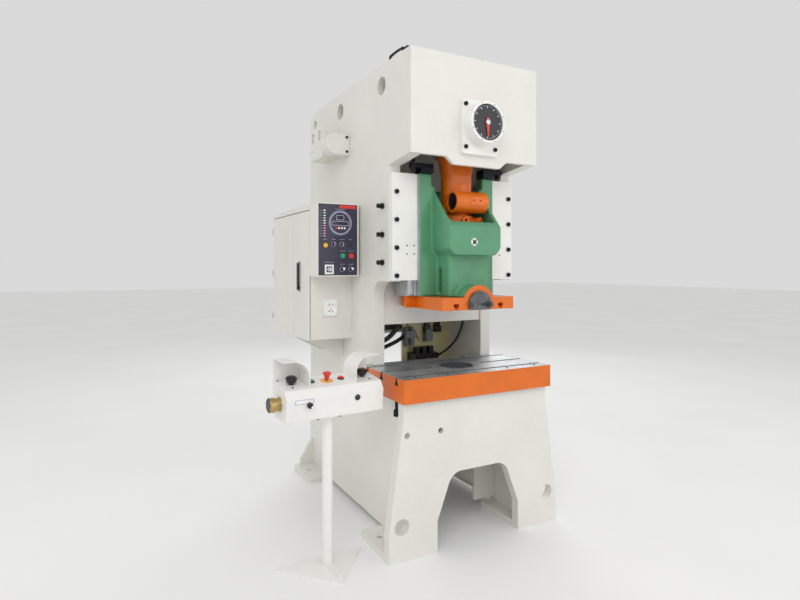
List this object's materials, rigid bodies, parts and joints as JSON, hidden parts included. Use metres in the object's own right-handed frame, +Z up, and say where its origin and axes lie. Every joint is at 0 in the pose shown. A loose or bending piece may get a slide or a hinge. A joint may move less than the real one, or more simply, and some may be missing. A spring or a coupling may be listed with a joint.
{
  "type": "mechanical stamping press",
  "caption": "Open-front single-crank stamping press with guided slide, bolster, rear gear drive, side cabinet, control panel and a two-hand console.",
  "frame": {"origin": "on the floor, in the middle of the four anchor bolt holes", "axes": "+Z up; +Y from the operator's front towards the back; +X to the right as the operator sees it"},
  "size_m": [1.8586, 1.793, 2.9],
  "materials": {
    "cream_paint": "satin",
    "white_paint": "satin",
    "green_paint": "satin",
    "orange_paint": "satin",
    "ground_steel": "ground",
    "dark_steel": "blackened",
    "grey_casting": "cast",
    "bronze": "turned",
    "black_plastic": "moulded",
    "red_plastic": "moulded",
    "green_plastic": "moulded",
    "yellow_plastic": "moulded",
    "black_rubber": "moulded",
    "motor_paint": "satin",
    "nickel": "plated",
    "red_metal": "satin"
  },
  "bodies": {
    "frame": {"left_side_plate": "cream_paint", "right_side_plate": "cream_paint", "bed_front_plate": "cream_paint", "bed_table": "ground_steel", "inner_walls": "cream_paint", "foot_plates": "cream_paint", "head_plates": "cream_paint", "rear_guard": "white_paint", "bolster": "orange_paint", "bolster_bolts": "dark_steel", "side_gibs": "ground_steel", "gib_plates": "white_paint", "cover_screws": "dark_steel", "gib_adjusters": "dark_steel", "crank_bushes": "bronze", "dial_housing": "white_paint", "balance_cylinders": "white_paint", "motor": "motor_paint", "drive_belts": "black_rubber", "panel_box": "cream_paint", "electrical_cabinet": "cream_paint", "cam_box": "cream_paint", "cam_drive_cover": "cream_paint", "lubrication_pump": "motor_paint", "air_service_unit": "motor_paint", "air_hoses": "black_rubber", "console_stand": "white_paint", "console_body": "white_paint", "console_connector": "bronze"},
    "crank": {"crankshaft": "ground_steel", "main_gear": "grey_casting", "dial_pointer": "red_metal"},
    "rod": {"connecting_rod": "orange_paint", "crank_pin": "ground_steel", "lock_clamp": "orange_paint"},
    "slide": {"slide": "green_paint", "ball_cap": "green_paint", "slide_plate": "orange_paint", "shank_clamp": "ground_steel", "balance_rods": "dark_steel"},
    "screw": {"adjusting_screw": "ground_steel"},
    "pinion": {"pinion_shaft": "ground_steel"},
    "flywheel": {"flywheel": "orange_paint"},
    "motor_rotor": {"motor_pulley": "grey_casting"},
    "door": {"cabinet_door": "cream_paint"},
    "handle": {"door_handle": "black_plastic"},
    "left_palm_button": {"left_palm_button": "black_plastic"},
    "right_palm_button": {"right_palm_button": "black_plastic"},
    "emergency_stop_button": {"emergency_stop_button": "red_plastic"},
    "console_green_button": {"console_green_button": "green_plastic"},
    "console_red_button": {"console_red_button": "red_plastic"},
    "console_selector": {"console_selector": "black_plastic"},
    "panel_yellow_button": {"panel_yellow_button": "yellow_plastic"},
    "panel_green_button": {"panel_green_button": "green_plastic"},
    "panel_red_button": {"panel_red_button": "red_plastic"},
    "panel_selector_one": {"panel_selector_one": "black_plastic"},
    "panel_selector_two": {"panel_selector_two": "black_plastic"},
    "panel_selector_three": {"panel_selector_three": "black_plastic"},
    "panel_selector_four": {"panel_selector_four": "black_plastic"},
    "panel_key_switch": {"panel_key_switch": "nickel"}
  },
  "joints": [
    {"name": "ram_stroke", "type": "slide", "parent": "frame", "child": "rod", "axis": [0, 0, 1], "range_m": [0, 0.16]},
    {"name": "die_height_adjustment", "type": "slide", "parent": "rod", "child": "slide", "axis": [0, 0, 1], "range_m": [-0.05, 0.03]},
    {"name": "screw_turn", "type": "hinge", "parent": "slide", "child": "screw", "pos_m": [0, -0.625, 1.79], "axis": [0, 0, 1], "range_deg": [-1810, 1090]},
    {"name": "crank_turn", "type": "hinge", "parent": "frame", "child": "crank", "pos_m": [0, 0, 2.496], "axis": [0, 1, 0], "range_deg": [-5, 185]},
    {"name": "pinion_turn", "type": "hinge", "parent": "frame", "child": "pinion", "pos_m": [0, 0, 2.104], "axis": [0, 1, 0], "range_deg": [-1090, 10]},
    {"name": "flywheel_spin", "type": "hinge", "parent": "frame", "child": "flywheel", "pos_m": [0, 0, 2.104], "axis": [0, 1, 0], "continuous": true},
    {"name": "motor_spin", "type": "hinge", "parent": "frame", "child": "motor_rotor", "pos_m": [0, 0, 1.35], "axis": [0, 1, 0], "continuous": true},
    {"name": "door_hinge", "type": "hinge", "parent": "frame", "child": "door", "pos_m": [-0.789, 0.785, 1.5], "axis": [0, 0, -1], "range_deg": [0, 110]},
    {"name": "handle_turn", "type": "hinge", "parent": "door", "child": "handle", "pos_m": [-0.795, 0.135, 1.5], "axis": [1, 0, 0], "range_deg": [0, 90]},
    {"name": "left_palm_button_press", "type": "slide", "parent": "frame", "child": "left_palm_button", "axis": [-0.0104, 0.1493, -0.9887], "range_m": [0, 0.006], "stiffness_N_per_m": 2500, "springref_m": -0.002},
    {"name": "right_palm_button_press", "type": "slide", "parent": "frame", "child": "right_palm_button", "axis": [-0.0104, 0.1493, -0.9887], "range_m": [0, 0.006], "stiffness_N_per_m": 2500, "springref_m": -0.002},
    {"name": "emergency_stop_button_press", "type": "slide", "parent": "frame", "child": "emergency_stop_button", "axis": [-0.0104, 0.1493, -0.9887], "range_m": [0, 0.005], "stiffness_N_per_m": 2500, "springref_m": -0.002},
    {"name": "console_green_button_press", "type": "slide", "parent": "frame", "child": "console_green_button", "axis": [-0.0104, 0.1493, -0.9887], "range_m": [0, 0.004], "stiffness_N_per_m": 1500, "springref_m": -0.002},
    {"name": "console_red_button_press", "type": "slide", "parent": "frame", "child": "console_red_button", "axis": [-0.0104, 0.1493, -0.9887], "range_m": [0, 0.004], "stiffness_N_per_m": 1500, "springref_m": -0.002},
    {"name": "console_selector_turn", "type": "hinge", "parent": "frame", "child": "console_selector", "pos_m": [-1.05066, -0.82218, 0.925], "axis": [0.0695, -0.994, -0.0844], "range_deg": [-45, 45]},
    {"name": "panel_yellow_button_press", "type": "slide", "parent": "frame", "child": "panel_yellow_button", "axis": [0, 1, 0], "range_m": [0, 0.004], "stiffness_N_per_m": 1200, "springref_m": -0.002},
    {"name": "panel_green_button_press", "type": "slide", "parent": "frame", "child": "panel_green_button", "axis": [0, 1, 0], "range_m": [0, 0.004], "stiffness_N_per_m": 1200, "springref_m": -0.002},
    {"name": "panel_red_button_press", "type": "slide", "parent": "frame", "child": "panel_red_button", "axis": [0, 1, 0], "range_m": [0, 0.004], "stiffness_N_per_m": 1200, "springref_m": -0.002},
    {"name": "panel_selector_one_turn", "type": "hinge", "parent": "frame", "child": "panel_selector_one", "pos_m": [-0.659, -0.175, 1.792], "axis": [0, -1, 0], "range_deg": [-45, 45]},
    {"name": "panel_selector_two_turn", "type": "hinge", "parent": "frame", "child": "panel_selector_two", "pos_m": [-0.6, -0.175, 1.792], "axis": [0, -1, 0], "range_deg": [-45, 45]},
    {"name": "panel_selector_three_turn", "type": "hinge", "parent": "frame", "child": "panel_selector_three", "pos_m": [-0.598, -0.175, 1.629], "axis": [0, -1, 0], "range_deg": [-45, 45]},
    {"name": "panel_selector_four_turn", "type": "hinge", "parent": "frame", "child": "panel_selector_four", "pos_m": [-0.537, -0.175, 1.629], "axis": [0, -1, 0], "range_deg": [-45, 45]},
    {"name": "panel_key_switch_turn", "type": "hinge", "parent": "frame", "child": "panel_key_switch", "pos_m": [-0.69, -0.175, 1.628], "axis": [0, -1, 0], "range_deg": [0, 90]}
  ],
  "couplings": [
    {"joint": "crank_turn", "follows": "ram_stroke", "rad_per_m": 19.635},
    {"joint": "pinion_turn", "follows": "ram_stroke", "rad_per_m": -117.81},
    {"joint": "screw_turn", "follows": "die_height_adjustment", "rad_per_m": 628.32},
    {"joint": "motor_spin", "follows": "flywheel_spin", "ratio": 5.5667}
  ]
}
